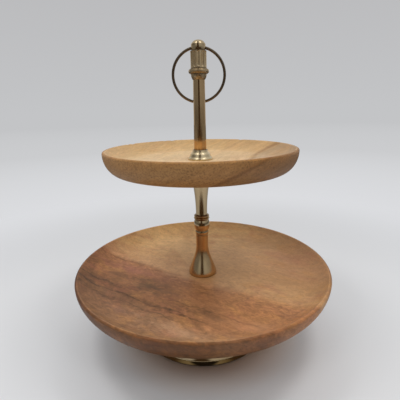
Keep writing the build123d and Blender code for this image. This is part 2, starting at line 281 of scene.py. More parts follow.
def turnedBrass(name, finish):
    # brass turned on a lathe and buffed: warm mirror with faint lines round the axis, cloudy lacquer
    # and brown tarnish left in the seams, with the same brown painted as shade on faces that look down;
    # turning lines are drawn coarser than real ones so that they show
    material, add, place = newMaterial(name)
    along, seamAndShade = (add("Attribute", output="Fac", attribute_name=key) for key in ("along", "seamAndShade"))
    cloud, speck = (add("TexNoise", {
        "Vector": place, "Scale": 1 / (finish[key] * mm), "Detail": detail, "Roughness": roughness})
        for key, detail, roughness in (("cloud", 4.0, 0.55), ("speck", 5.0, 0.7)))
    lines = add("TexNoise", {"W": along, "Scale": 1 / finish["lines"], "Detail": 2.0}, noise_dimensions="1D")
    tone = add("ValToRGB", (cloud,), stops=[(0.36, finish["bright"]), (0.66, finish["warm"])])
    tarnishAndShade = add("Math MULTIPLY", (seamAndShade, speck))
    tarnish = add("MapRange", (tarnishAndShade, *finish["tarnishRange"], 0.0, finish["tarnishShare"]))
    colour = add("Mix RGBA", {0: tarnish, 6: tone, 7: finish["tarnish"]}, 2)
    cloudy = finish["roughness"] + finish["cloudRoughness"]
    gloss = add("MapRange", (cloud, 0.3, 0.7, finish["roughness"], cloudy))
    dulled = add("Math MULTIPLY_ADD", (tarnish, finish["tarnishRoughness"], gloss))
    bump = add("Bump", {
        "Strength": finish["lineStrength"], "Distance": finish["lineDepth"] * mm, "Height": lines})
    shader = add("BsdfPrincipled", {
        "Base Color": colour, "Roughness": dulled, "Normal": bump, "Metallic": 1.0})
    add("OutputMaterial", (shader,))
    return material


# Wood

lowerWood = {
    "grainTurn": -31.0, "layerTilt": 30.0,  # degrees: grain seen from above, lean of the growth layers
    "floor": 73.0, "wander": 4.5,  # mm: height at which the layers below are given, and how far they wander
    # the layers near -17 and -12 across the grain are lightened a little: painted light that lifts the shade
    # of the post
    "startLayers": [  # mm across the grain and colour, where the grain starts at the left
        (-150, "#936A46"), (-118, "#8A6040"), (-97, "#7C5638"), (-84, "#805535"), (-68, "#885B39"),
        (-46, "#95643F"), (-30, "#A26E48"), (-23, "#A8734B"), (-17, "#C8986A"), (20, "#D4A872"),
        (60, "#E0B47C"), (104, "#E0B47A"), (150, "#D0A874")],
    "endLayers": [  # the same where it ends at the right
        (-150, "#8F6743"), (-118, "#A27A56"), (-106, "#AA7E58"), (-90, "#9C6C46"), (-70, "#A37046"),
        (-46, "#B07848"), (-31, "#B07A4C"), (-24, "#B47E50"), (-12, "#CA9C6A"), (20, "#B68858"),
        (60, "#B2845A"), (100, "#AC8058"), (150, "#A67E56")],
    "patches": [  # mm along and across the grain, half sizes, strength and colour
        # the pale patches at (-27, 2) and (0, -21) are painted light that lifts the shade of the post and the
        # upper tray
        (-75, -38, 60, 10, 0.65, "#B0705A"), (35, -110, 50, 9, 0.55, "#C49C7A"),
        (-27, 2, 20, 9, 0.5, "#DEB07E"), (68, -84, 30, 10, 0.35, "#B8825A"),
        (0, -21, 60, 10, 0.75, "#D4A474"), (30, 112, 60, 22, 0.65, "#987048"),
        (94, -70, 28, 10, 0.65, "#D49868"), (-36, -112, 20, 6, 0.45, "#85695A"),
        (20, -52, 50, 12, 0.3, "#B4784C"), (-36, -60, 40, 14, 0.85, "#58432F"),
        (50, -74, 28, 7, 0.6, "#60452F"), (-104, -78, 26, 6, 0.45, "#5E4530"),
        (-92, -56, 22, 7, 0.35, "#5E4530")],
    "veins": [  # mm across the grain, half width, start and end along the grain, strength
        (-88, 2.6, -125, 40, 0.85), (-22.5, 1.8, -150, -85, 0.6), (-99, 1.8, -90, 20, 0.55),
        (-70, 1.8, 10, 95, 0.6), (-78, 1.8, -130, -70, 0.8)],
    "vein": "#46321F", "pore": "#6B4A33", "pink": "#A5654A", "amber": "#C48C4C", "clouds": 0.38,
    "speck": "#5E4530", "speckSize": 3.2, "speckShare": 0.6,  # size in mm
    "blotch": 0.28, "mottle": 0.36, "streak": 0.06,  # how much lighter and darker each makes the wood,
    "calm": (-26, -12, 0.4),  # mm across the grain where these calm down, and to what share
    "wall": "#FCFAF4",  # painted shade where the inside turns up
    "outside": "#B0906E", "outsideShares": [  # painted shade on the outside: tint, and its share by degrees round the tray
        (-150, 0.85), (-125, 0.6), (-95, 0.8), (-72, 0.6), (-56, 0.05), (-42, 0.05), (0, 0.7), (90, 0.9),
        (150, 1.0)],
}
upperEdge = [(66, "#CEAC80"), (72, "#9E7C58"), (76, "#BA9E7C"), (110, "#B0967A"), (150, "#AC9278")]
upperWood = {
    "grainTurn": -106.0, "layerTilt": -63.0, "floor": 222.0, "wander": 5.0,
    "startLayers": [(-150, "#CDAC80"), (-60, "#D3B488"), (20, "#D1B286")] + upperEdge,
    "endLayers": [(-150, "#CDAC80"), (-60, "#D6B88E"), (20, "#D3B488")] + upperEdge,
    "patches": [(-60, 60, 20, 5, 0.2, "#8A6C50")],
    "veins": [(-30, 1.2, -100, 100, 0.15), (24, 1.2, -100, 100, 0.15)],
    "vein": "#9A7650", "pore": "#9A7650", "pink": "#CCA27A", "amber": "#CCA266", "clouds": 0.4,
    "speck": "#5C4228", "speckSize": 1.7, "speckShare": 0.8,
    "blotch": 0.12, "mottle": 0.14, "streak": 0.05, "calm": (-26, -12, 1.0),
    # painted shade: the tint where the inside turns up, and the outside's tint with its shares round the tray
    "wall": "#F0EADF",
    "outside": "#C09E6C",
    "outsideShares": [(-150, 0.85), (-80, 0.85), (-50, 0.9), (60, 0.85), (150, 0.85)],
}
mangoLook = {  # the same in both woods
    "noises": {  # mm along and across the grain of one patch, then detail, roughness and distortion
        "wander": (130, 45, 3.0, 0.5, 0.0), "pink": (50, 28, 4.0, 0.6, 1.0), "amber": (42, 22, 5.0, 0.6, 1.2),
        "blotch": (32, 20, 5.0, 0.62, 2.0), "mottle": (7, 4.5, 5.0, 0.7, 1.0),
        "streak": (60, 4.5, 4.0, 0.6, 0.6), "blot": (18, 8, 5.0, 0.68, 0.6), "waver": (30, 16, 4.0, 0.6, 0.0),
        "pore": (5, 0.9, 1.0, 0.5, 0.0),  # dashes coarser than real pores, so that they show
    },
    "layerEnd": 160.0, "grainEnd": 90.0,  # mm from the middle to where the layers end, across and along
    "ragged": 3.2, "patchRange": (2.8, 1.2),  # how noise breaks up a patch, and where it starts and is full
    "waver": 4.0, "veinFade": (15.0, 25.0),  # mm that a vein wavers, and over which its two ends fade
    "poreShare": 0.4, "poreRelief": 0.8, "reliefDepth": 0.2, "reliefStrength": 0.12,  # depth in mm
    "satin": (0.56, 0.44), "specular": 0.35,  # roughness in the dark and the light streaks
}


def mangoWood(name, wood, look):
    # mango, turned, sanded and oiled: broad tan and red-brown bands, soft mottling, short dark pores and grey
    # mineral stains, with painted shade that darkens the outside and the inner wall, and a low satin
    material, add, place = newMaterial(name)
    turned = add("Mapping", {
        "Vector": place, "Location": (0, 0, wood["floor"] * mm),
        "Rotation": (0, 0, math.radians(wood["grainTurn"]))}, vector_type="TEXTURE")
    along, level, height = add("SeparateXYZ", (turned,)).node.outputs
    across = add("Math MULTIPLY_ADD", (height, math.tan(math.radians(wood["layerTilt"])), level))
    grain = add("CombineXYZ", (along, across, height))
    noise = {}
    for key, (longways, sideways, detail, roughness, distortion) in look["noises"].items():
        scale = (1 / (longways * mm), 1 / (sideways * mm), 1 / (sideways * mm))
        patch = add("VectorMath MULTIPLY", (grain, scale))
        noise[key] = add("TexNoise", {
            "Vector": patch, "Scale": 1.0, "Detail": detail, "Roughness": roughness,
            "Distortion": distortion})

    # layers across the grain, whose edges wander
    wander = add("MapRange", (noise["wander"], 0.2, 0.8, -wood["wander"] * mm, wood["wander"] * mm))
    layer = add("Math ADD", (across, wander))
    layerEnd, grainEnd = look["layerEnd"], look["grainEnd"]
    layerShare = add("MapRange", (layer, -layerEnd * mm, layerEnd * mm))
    starts, ends = (
        add("ValToRGB", (layerShare,), stops=[(0.5 + at / (2 * layerEnd), code) for at, code in wood[key]])
        for key in ("startLayers", "endLayers"))
    grainShare = add("MapRange", (along, -grainEnd * mm, grainEnd * mm))
    colour = add("Mix RGBA", {0: grainShare, 6: starts, 7: ends}, 2)

    # pink and amber clouds, then blotches, finer mottling and streaks, each lighter and darker by its share
    for key in ("pink", "amber"):
        cloud = add("MapRange", (noise[key], 0.5, 0.7, 0.0, wood["clouds"]))
        colour = add("Mix RGBA", {0: cloud, 6: colour, 7: wood[key]}, 2)
    blotch, mottle, streak = (
        add("MapRange", (noise[key], low, high, 1 - wood[key], 1 + wood[key]))
        for key, low, high in (("blotch", 0.28, 0.72), ("mottle", 0.28, 0.72), ("streak", 0.25, 0.75)))
    uneven = add("Math MULTIPLY", (blotch, mottle))
    full = add("Math MULTIPLY", (uneven, streak))
    calmFrom, calmTo, calmShare = wood["calm"]
    lively = add("MapRange", (layer, calmFrom * mm, calmTo * mm, 1.0, calmShare))
    change = add("Math SUBTRACT", (full, 1.0))
    shade = add("Math MULTIPLY_ADD", (change, lively, 1.0))
    colour = add("VectorMath SCALE", {0: colour, "Scale": shade})
    tints = []  # share, colour and blend of all that lies over this, in order

    # patches: soft ovals along the grain, broken up by noise
    for alongAt, acrossAt, alongHalf, acrossHalf, strength, code in wood["patches"]:
        oval = add("Mapping", {
            "Vector": grain, "Location": (-alongAt / alongHalf, -acrossAt / acrossHalf, 0),
            "Scale": (1 / (alongHalf * mm), 1 / (acrossHalf * mm), 0)})
        reach = add("VectorMath LENGTH", (oval,), "Value")
        ragged = add("Math MULTIPLY_ADD", (noise["blot"], look["ragged"], reach))
        tints.append((add("MapRange", (ragged, *look["patchRange"], 0.0, strength)), code, "MIX"))

    # veins: thin dark lines along the grain that waver, break up and fade at their ends
    waver = add("MapRange", (noise["waver"], 0.3, 0.7, -look["waver"] * mm, look["waver"] * mm))
    wavering = add("Math ADD", (across, waver))
    broken = add("MapRange", (noise["blot"], 0.44, 0.62, 1.0, 0.25))
    fadeIn, fadeOut = look["veinFade"]
    for acrossAt, half, start, end, strength in wood["veins"]:
        apart = add("Math SUBTRACT", (wavering, acrossAt * mm))
        off = add("Math ABSOLUTE", (apart,))
        share = add("MapRange", (off, half * mm, 0.0, 0.0, strength))
        begun = add("MapRange", (along, (start - fadeIn) * mm, start * mm))
        ended = add("MapRange", (along, (end + fadeOut) * mm, end * mm))
        for fade in (begun, ended, broken):
            share = add("Math MULTIPLY", (share, fade))
        tints.append((share, wood["vein"], "MIX"))

    # pores, then painted shade on the inner wall and the outside, specks on the outside, and knocks on the
    # rim
    pores = add("MapRange", (noise["pore"], 0.57, 0.75, 0.0, look["poreShare"]))
    outside, bruise, wall = (
        add("Attribute", output="Fac", attribute_name=key) for key in ("outside", "bruise", "wall"))
    speck = add("TexNoise", {
        "Vector": place, "Scale": 1 / (wood["speckSize"] * mm), "Detail": 3.0, "Roughness": 0.7})
    speckShare = add("MapRange", (speck, 0.48, 0.7, 0.0, wood["speckShare"]))
    specks = add("Math MULTIPLY", (outside, speckShare))
    smear = add("MapRange", (noise["blot"], 0.3, 0.6, 0.3, 1.0))
    knocks = add("Math MULTIPLY", (bruise, smear))
    tints += [(pores, wood["pore"], "MIX"), (wall, wood["wall"], "MULTIPLY"),
              (outside, wood["outside"], "MULTIPLY"), (specks, wood["speck"], "MIX"),
              (knocks, wood["vein"], "MIX")]
    for share, code, blend in tints:
        colour = add("Mix RGBA", {0: share, 6: colour, 7: code}, 2, blend_type=blend)

    satin = add("MapRange", (noise["streak"], 0.25, 0.75, *look["satin"]))
    relief = add("Math MULTIPLY_ADD", (pores, -look["poreRelief"], noise["streak"]))
    bump = add("Bump", {
        "Strength": look["reliefStrength"], "Distance": look["reliefDepth"] * mm, "Height": relief})
    shader = add("BsdfPrincipled", {
        "Base Color": colour, "Roughness": satin, "Normal": bump, "Specular IOR Level": look["specular"]})
    add("OutputMaterial", (shader,))
    return material


# Steel and felt

steelFinish = {"cool": "#B9BABC", "warm": "#C6BFA9", "bloom": 5.0, "roughness": (0.28, 0.42)}  # bloom in mm
feltFinish = {"dark": "#1E1713", "light": "#43352B", "fibre": 0.8, "depth": 0.3, "sheen": 0.3}  # in mm


def zincSteel(finish):
    # zinc-plated steel fasteners: grey metal with a faint warm and cool bloom and dull drawn sides
    material, add, place = newMaterial("zincPlatedSteel")
    bloom = add("TexNoise", {"Vector": place, "Scale": 1 / (finish["bloom"] * mm), "Detail": 4.0})
    tone = add("ValToRGB", (bloom,), stops=[(0.35, finish["cool"]), (0.65, finish["warm"])])
    gloss = add("MapRange", (bloom, 0.3, 0.7, *finish["roughness"]))
    shader = add("BsdfPrincipled", {"Base Color": tone, "Roughness": gloss, "Metallic": 1.0})
    add("OutputMaterial", (shader,))
    return material


def pressedFelt(finish):
    # pressed wool felt: dark brown matted fibres, no gloss; fibres are drawn coarser than real ones to show
    material, add, place = newMaterial("pressedFelt")
    fibre = add("TexNoise", {
        "Vector": place, "Scale": 1 / (finish["fibre"] * mm), "Detail": 6.0, "Roughness": 0.75,
        "Distortion": 1.5})
    tone = add("ValToRGB", (fibre,), stops=[(0.3, finish["dark"]), (0.7, finish["light"])])
    bump = add("Bump", {"Strength": 0.6, "Distance": finish["depth"] * mm, "Height": fibre})
    shader = add("BsdfPrincipled", {
        "Base Color": tone, "Roughness": 0.95, "Normal": bump, "Sheen Weight": finish["sheen"]})
    add("OutputMaterial", (shader,))
    return material


brass = turnedBrass("polishedBrass", brassFinish)
capitalBrass = turnedBrass("antiquedBrass", capitalFinish)
postBrass = turnedBrass("satinBrass", postFinish)
rodBrass = turnedBrass("rodBrassPaintedLight", rodFinishAndLight)
bellBrass = turnedBrass("bellBrassPaintedLight", bellFinishAndLight)
ringBrass = turnedBrass("drawnBrassWire", ringFinish)
lowerMango = mangoWood("oiledMangoLower", lowerWood, mangoLook)
upperMango = mangoWood("oiledMangoUpper", upperWood, mangoLook)
steel = zincSteel(steelFinish)
felt = pressedFelt(feltFinish)
print("materials made")


# Trays

lowerTray = {
    "corner": 37.0, "dishDepth": 15.0, "floorRadius": 115.0, "rimRound": 2.0, "hole": 4.5, "columns": 300,
    "rimShadeReach": 0.05, "seed": 5,  # how far the outside's painted shade reaches over the rim, as a slope
    "nicks": [(62, 0.5, 2.2), (74, 0.7, 1.6), (51, 0.4, 2.8)],  # degrees round the rim, depth and width in mm
}
upperTray = {
    "corner": 18.5, "dishDepth": 13.4, "floorRadius": 80.0, "rimRound": 2.0, "hole": 3.5, "columns": 260,
    "rimShadeReach": 0.3, "seed": 11,
    "nicks": [(146, 0.9, 2.0), (151, 0.6, 1.5), (112, 0.8, 2.4), (118, 0.5, 1.6), (58, 0.8, 2.0)],
}
turning = {  # the same for both trays
    "waves": 5, "waveStart": 0.6,  # slow waves round the rim, from this share of the radius outwards
    "wobble": 0.2, "sag": 0.2, "sagShift": 17,  # mm inwards and downwards, and columns between the two
    "dentReach": 1.8, "stainWidth": 1.3,  # mm from the top of the rim, and times the dent's width
    "outsideSlope": 0.3, "wallShadeSlope": 0.35,  # slopes at which the painted shade on the outside and on the wall is full
    "underside": 0.5,  # mm above the bottom that get the outside's painted shade too
}


def trayPath(node, tray):
    # closed path: underside, rounded outer corner, round rim, inside, floor and bolt hole; the inside is an
    # arc that touches the rim's circle and the flat floor
    bottom, top, radius = nodeSpan(node)
    rim, corner, flat, floor = tray["rimRound"], tray["corner"], tray["floorRadius"], top - tray["dishDepth"]
    shoulder, middle = top - rim, radius - rim
    run, rise = middle - flat, shoulder - floor
    dish = (run ** 2 + rise ** 2 - rim ** 2) / (2 * (rise + rim))
    slope = math.degrees(math.atan2(run, dish - rise))
    return joinRuns(
        [(tray["hole"], bottom), (radius - corner, bottom)],
        ellipseRun((radius - corner, shoulder), (corner, shoulder - bottom), -90, 0, 44),
        ellipseRun((middle, shoulder), (rim, rim), 0, 90 + slope, 19),
        ellipseRun((flat, floor + dish), (dish, dish), slope - 90, -90, 36),
        [(tray["hole"], floor), (tray["hole"], bottom + hair)], step=3.0)


def turnedTray(name, node, tray, wood, material):
    # turned path, drawn in a little by slow waves round the rim, with small dents where the rim was knocked
    path = trayPath(node, tray)
    grid = turnedGrid(path, tray["columns"])
    bottom, top, radius = nodeSpan(node)
    angle = fullTurn(tray["columns"])
    phase = np.random.default_rng(tray["seed"]).uniform(0, 2 * np.pi, turning["waves"])
    wave = sum(np.cos((k + 2) * angle + phase[k]) / (k + 1.5) for k in range(turning["waves"]))
    wave = (wave - wave.max()) / np.ptp(wave)  # from -1 to 0
    start = turning["waveStart"]
    ring = np.clip((path[:, 0] / radius - start) / (1 - start), 0, 1)[:, None] ** 2
    lift = np.clip((path[:, 1] - bottom) / (top - bottom), 0, 1)[:, None]
    grid[..., :2] *= (1 + turning["wobble"] * wave * ring / radius)[..., None]
    grid[..., 2] += turning["sag"] * np.roll(wave, turning["sagShift"]) * ring * lift

    # dents and their stain, where the path is near the top of the rim
    fromRim = np.hypot(path[:, 0] - radius + tray["rimRound"], path[:, 1] - top)[:, None]
    rim = np.exp(-(fromRim / turning["dentReach"]) ** 2)
    bruise = np.zeros(grid.shape[:2])
    for degrees, depth, width in tray["nicks"]:
        apart = np.radians((np.degrees(angle) - degrees + 180) % 360 - 180) * radius
        grid[..., 2] -= depth * np.exp(-(apart / width) ** 2) * rim
        bruise = np.maximum(bruise, np.exp(-(apart / width / turning["stainWidth"]) ** 2) * rim)

    # painted shade: outside is 1, fading to 0 over the rim, and its tint is stronger and weaker round the
    # tray; the wall's painted shade grows where the inside turns up
    tangent = np.gradient(path, axis=0)
    outward = (tangent[:, 1] / np.linalg.norm(tangent, axis=1))[:, None]
    atRim = path[:, :1] > radius - 2 * tray["rimRound"]
    below = path[:, 1:] < bottom + turning["underside"]
    outside = np.clip((outward + tray["rimShadeReach"] * atRim) / turning["outsideSlope"], 0, 1) + below
    degreesRound, shares = np.array(wood["outsideShares"]).T
    tone = np.clip(outside, 0, 1) * np.interp(np.degrees(angle), degreesRound, shares, period=360)
    wall = np.clip(-outward / turning["wallShadeSlope"], 0, 1) * (path[:, :1] > tray["floorRadius"])
    return dressPiece(name, grid, material, "stand", node, {
        "outside": tone, "wall": wall * np.ones_like(tone), "bruise": bruise})


turnedTray("lowerMangoTray", "lower_tray", lowerTray, lowerWood, lowerMango)
turnedTray("upperMangoTray", "upper_tray", upperTray, upperWood, upperMango)
print("trays turned")


# Brass column, from the foot up; the paths give radius and height in mm

footShape = {
    "lipWidth": 7.0, "lipHeight": 10.0, "lipCrown": 7.5, "wall": 3.0, "neckRadius": 22.0, "neckDrop": 16.0,
    "flangeRadius": 40.0, "flangeEdge": 3.5, "plate": 4.0, "hole": 4.5, "edge": 0.6,
}


def footPath(foot):
    # lip, flared skirt, neck and flange outside; hollow of one wall thickness inside
    bottom, top, radius = nodeSpan("foot")
    skirt, lipTop, neck = radius - foot["lipWidth"], bottom + foot["lipHeight"], top - foot["neckDrop"]
    run, rise, wall = skirt - foot["neckRadius"], neck - lipTop, foot["wall"]
    flange, underShade, plate = foot["flangeRadius"], top - foot["flangeEdge"], top - foot["plate"]
    bore, edge = foot["neckRadius"] - wall, foot["edge"]
    return joinRuns(
        cornerRun((skirt, lipTop - wall), (skirt, bottom), (radius, bottom), edge),
        cornerRun((skirt, bottom), (radius, bottom), (radius, lipTop), edge),
        ellipseRun((skirt, lipTop - foot["lipCrown"]), (foot["lipWidth"], foot["lipCrown"]), 0, 90),
        ellipseRun((skirt, neck), (run, rise), 270, 180, 48),
        ellipseRun((flange, neck), (flange - foot["neckRadius"], underShade - neck), 180, 90, 30),
        cornerRun((foot["neckRadius"], underShade), (flange, underShade), (flange, top), edge),
        cornerRun((flange, underShade), (flange, top), (foot["hole"], top), edge),
        [(foot["hole"], top), (foot["hole"], plate), (bore, plate), (bore, neck)],
        ellipseRun((skirt, neck), (run + wall, rise + wall), 180, 270, 48), step=2.0)


postShape = {
    "lipHeight": 3.2, "lipRound": 1.2, "neckRadius": 7.35, "neckHeight": 14.1, "flareSlope": 0.31,
    "boltBore": 4.15, "boltDepth": 29.5, "studBore": 3.15, "studDepth": 11.5, "edge": 0.35,
}


def postPath(post):
    # trumpet from a small rounded lip up to a straight neck, with a bore at each end
    bottom, top, base = nodeSpan("lower_post")
    lip, neck, flareTop = bottom + post["lipHeight"], post["neckRadius"], top - post["neckHeight"]
    flare = splineRun((neck, flareTop), (base, lip), (0, -1), (post["flareSlope"], -1))[::-1]
    bolt, stud = post["boltBore"], post["studBore"]
    return joinRuns(
        [(0, bottom + post["boltDepth"]), (bolt, bottom + post["boltDepth"]), (bolt, bottom)],
        cornerRun((bolt, bottom), (base, bottom), (base, lip), post["edge"]),
        cornerRun((base, bottom), (base, lip), flare[3], post["lipRound"], 9),
        flare[4:],
        cornerRun((neck, flareTop), (neck, top), (stud, top), post["edge"]),
        [(stud, top), (stud, top - post["studDepth"]), (0, top - post["studDepth"])])


beadShape = {
    "bore": 3.15, "sleeveBore": 4.15, "neckSeat": 7.35, "beadSeat": 7.2, "discHeight": 2.4,
    "shoulderRadius": 8.9, "capitalSeat": 8.6, "groove": 2,  # degrees that the two ellipses stop short
}


def beadPath(node, seat, bore):
    # ring whose outside bulges as half an ellipse
    bottom, top, radius = nodeSpan(node)
    bulge = ellipseRun((seat, (bottom + top) / 2), (radius - seat, (top - bottom) / 2), -90, 90, 33)
    return boredRuns(bore, bottom, top, bulge)


def collarPath(bead):
    # disc with a rounder shoulder on it, each half an ellipse
    bottom, top, radius = nodeSpan("collar_ring")
    seat, step, turn = bead["beadSeat"], bottom + bead["discHeight"], 90 - bead["groove"]
    disc, shoulder = radius - seat, bead["shoulderRadius"] - seat
    return boredRuns(
        bead["bore"], bottom, top,
        ellipseRun((seat, (bottom + step) / 2), (disc, (step - bottom) / 2), -90, turn, 25),
        ellipseRun((seat, (step + top) / 2), (shoulder, (top - step) / 2), -turn, 90, 29))


stemShape = {
    "radius": 6.7, "neckHeight": 3.0, "flareRadius": 12.2, "lipHeight": 2.6, "bore": 3.15, "lowDepth": 15.5,
    "highDepth": 17.5, "lowEdge": 0.3, "edge": 0.5,
}


def stemPath(stem):
    # straight stem that flares into a thin lip under the tray
    bottom, top, lipRadius = nodeSpan("upper_stem")
    radius, lip, flareLow = stem["radius"], top - stem["lipHeight"], bottom + stem["neckHeight"]
    flare = tangentRun((radius, flareLow), (stem["flareRadius"], lip), (0, 1), 60)
    bore, low, high = stem["bore"], bottom + stem["lowDepth"], top - stem["highDepth"]
    return joinRuns(
        [(0, low), (bore, low), (bore, bottom)],
        cornerRun((bore, bottom), (radius, bottom), (radius, flareLow), stem["lowEdge"]),
        flare,
        cornerRun(flare[-1], (lipRadius, lip), (lipRadius, top), stem["edge"]),
        cornerRun((lipRadius, lip), (lipRadius, top), (bore, top), stem["edge"]),
        [(bore, top), (bore, high), (0, high)])


bellShape = {"edgeHeight": 1.2, "topRadius": 8.1, "roll": 0.2, "hole": 3.5, "edge": 0.3}


def bellPath(bell):
    # cone with a thin edge and two soft rolls: the radius falls evenly from the edge to the rod, less a wave
    # of two periods
    bottom, top, base = nodeSpan("handle_bell")
    edgeTop, crown, hole = (base, bottom + bell["edgeHeight"]), (bell["topRadius"], top), bell["hole"]
    share = np.linspace(0, 1, 49)
    radius = base + (bell["topRadius"] - base) * share - bell["roll"] * (1 - np.cos(4 * np.pi * share))
    cone = np.column_stack([radius, edgeTop[1] + (top - edgeTop[1]) * share])
    return boredRuns(
        hole, bottom, top,
        cornerRun((hole, bottom), (base, bottom), edgeTop, bell["edge"]),
        cornerRun((base, bottom), edgeTop, cone[3], bell["edge"]),
        cone[3:-3],
        cornerRun(cone[-4], crown, (hole, top), bell["edge"]))


rodShape = {
    "height": 74.1, "topRadius": 6.4, "spigot": 4.0, "studBore": 3.15, "studDepth": 17.5, "shankBore": 2.65,
    "shankDepth": 13.5, "edge": 0.25,
}


def rodPath(rod):
    # slight taper, a shoulder under the cup and a thin spigot above, with a bore at each end
    bottom, top, radius = nodeSpan("handle_rod")
    shoulder, spigot = (rod["topRadius"], bottom + rod["height"]), (rod["spigot"], bottom + rod["height"])
    stud, shank = rod["studBore"], rod["shankBore"]
    low, high = bottom + rod["studDepth"], top - rod["shankDepth"]
    return joinRuns(
        [(0, low), (stud, low), (stud, bottom)],
        cornerRun((stud, bottom), (radius, bottom), shoulder, rod["edge"]),
        cornerRun((radius, bottom), shoulder, spigot, rod["edge"]),
        [spigot, (rod["spigot"], top), (shank, top), (shank, high), (0, high)])


cupShape = {"footRadius": 6.6, "bore": 4.15, "edge": 0.3}


def cupPath(cup):
    # cup that curves in towards the rod
    bottom, top, radius = nodeSpan("capital_cup")
    bore, edge = cup["bore"], cup["edge"]
    side = tangentRun((radius, top), (cup["footRadius"], bottom), (0, -1), 24)[::-1]
    return boredRuns(
        bore, bottom, top,
        cornerRun((bore, bottom), side[0], side[3], edge),
        side[4:-2],
        cornerRun(side[-4], (radius, top), (bore, top), edge), step=1.0)


neckRing = beadPath("neck_ring", beadShape["neckSeat"], beadShape["bore"])
knop = beadPath("knop", beadShape["beadSeat"], beadShape["bore"])
capitalBead = beadPath("capital_bead", beadShape["capitalSeat"], beadShape["sleeveBore"])
turnedPieces = [  # name, CAD node, path, columns, material, mm of tarnish at the ends, share of painted shade underneath
    ("brassFoot", "foot", footPath(footShape), 220, brass, 0.9, 0.0),
    ("brassPost", "lower_post", postPath(postShape), 120, postBrass, 0.9, 0.0),
    ("brassNeckRing", "neck_ring", neckRing, 96, brass, 0.9, 0.0),
    ("brassKnop", "knop", knop, 112, brass, 0.9, 0.45),
    ("brassCollar", "collar_ring", collarPath(beadShape), 112, brass, 2.0, 0.0),
    ("brassStem", "upper_stem", stemPath(stemShape), 112, brass, 0.9, 0.0),
    ("brassBell", "handle_bell", bellPath(bellShape), 112, bellBrass, 0.9, 0.0),
    ("brassRod", "handle_rod", rodPath(rodShape), 112, rodBrass, 2.5, 0.0),
    ("brassCup", "capital_cup", cupPath(cupShape), 96, capitalBrass, 2.4, 0.9),
    ("brassBead", "capital_bead", capitalBead, 112, capitalBrass, 1.8, 0.9),
]
for name, node, path, columns, material, fade, underShade in turnedPieces:
    dressPiece(name, turnedGrid(path, columns), material, "stand", node,
               turnedFields(path, columns, fade, underShade))

capitalShape = {
    "flutes": 12, "fluteRadius": 2.0, "fluteDepth": 0.75, "margin": 1.2, "bore": 4.15, "edge": 0.3,
    "inset": 0.5, "columns": 360, "rows": 60, "sharp": 40, "fade": 0.9, "fluteTarnish": 0.3,
}


def flutedCapital(capital):
    # sleeve path carried round, with its radius cut back to a ring of round grooves: the groove at angle a
    # from its middle line is d cos a - sqrt(r r - d d sin a sin a), r shrinking at the lower end
    bottom, top, radius = nodeSpan("capital")
    groove, depth, bore, edge = (capital[key] for key in ("fluteRadius", "fluteDepth", "bore", "edge"))
    low, high = bottom + capital["margin"] + groove, top - capital["margin"]
    inset = capital["inset"]
    side = np.linspace((radius, bottom + inset), (radius, top - inset), capital["rows"])
    path = boredRuns(
        bore, bottom, top, cornerRun((bore, bottom), (radius, bottom), (radius, top), edge), side,
        cornerRun((radius, bottom), (radius, top), (bore, top), edge), step=0.4)
    angle = fullTurn(capital["columns"])
    pitch = 2 * np.pi / capital["flutes"]
    apart = np.abs((angle + pitch / 2) % pitch - pitch / 2)[None, :]
    plain, height = path[:, :1], path[:, 1:]
    reach = np.sqrt(np.clip(groove ** 2 - np.clip(low - height, 0, groove) ** 2, 0, None)) * (height < high)
    middle = radius - depth + groove
    inside = np.clip(reach ** 2 - (middle * np.sin(apart)) ** 2, 0, None)
    floor = np.where(inside > 0, middle * np.cos(apart) - np.sqrt(inside), np.inf)
    cut = np.where(plain > radius - hair, np.minimum(plain, floor), plain)
    grid = np.stack([cut * np.cos(angle), cut * np.sin(angle), height + 0 * angle], axis=2)
    fields = turnedFields(path, capital["columns"], capital["fade"], 0.0)
    tarnish = capital["fluteTarnish"] * np.clip((plain - cut) / depth, 0, 1)
    fields["seamAndShade"] = np.maximum(fields["seamAndShade"], tarnish)
    return dressPiece("flutedCapital", grid, capitalBrass, "stand", "capital", fields,
                      capital["sharp"])


flutedCapital(capitalShape)

ringShape = {"wire": 1.5, "columns": 200, "rows": 28, "lineStep": 0.3}


def carryRing(ring):
    # circle of the wire carried round the ring's middle line, in the plane that the CAD ring lies in
    low, high = (np.array(corner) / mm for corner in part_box("carry_ring"))
    wire, rows, columns = ring["wire"], ring["rows"], ring["columns"]
    radius = high[0] - wire
    lean = math.acos(min(1.0, (high[2] - low[2] - 2 * wire) / (2 * radius)))
    middle = (low + high) / 2 * (0, 1, 1)
    across, upward = np.array([1.0, 0, 0]), np.array([0, -math.sin(lean), math.cos(lean)])
    normal = np.cross(across, upward)
    turn, angle = fullTurn(columns)[None, :, None], fullTurn(rows)[:, None, None]
    spoke = np.cos(turn) * across + np.sin(turn) * upward
    grid = middle + (radius + wire * np.cos(angle)) * spoke + wire * np.sin(angle) * normal
    along = np.arange(rows)[:, None] * ring["lineStep"] * np.ones((1, columns))
    return dressPiece("brassCarryRing", grid, ringBrass, "ring", "carry_ring", {
        "along": along, "seamAndShade": 0 * along})


carryRing(ringShape)

feltShape = {"innerRadius": 72.5, "edge": 0.5, "fray": 0.25, "columns": 260, "seed": 3}


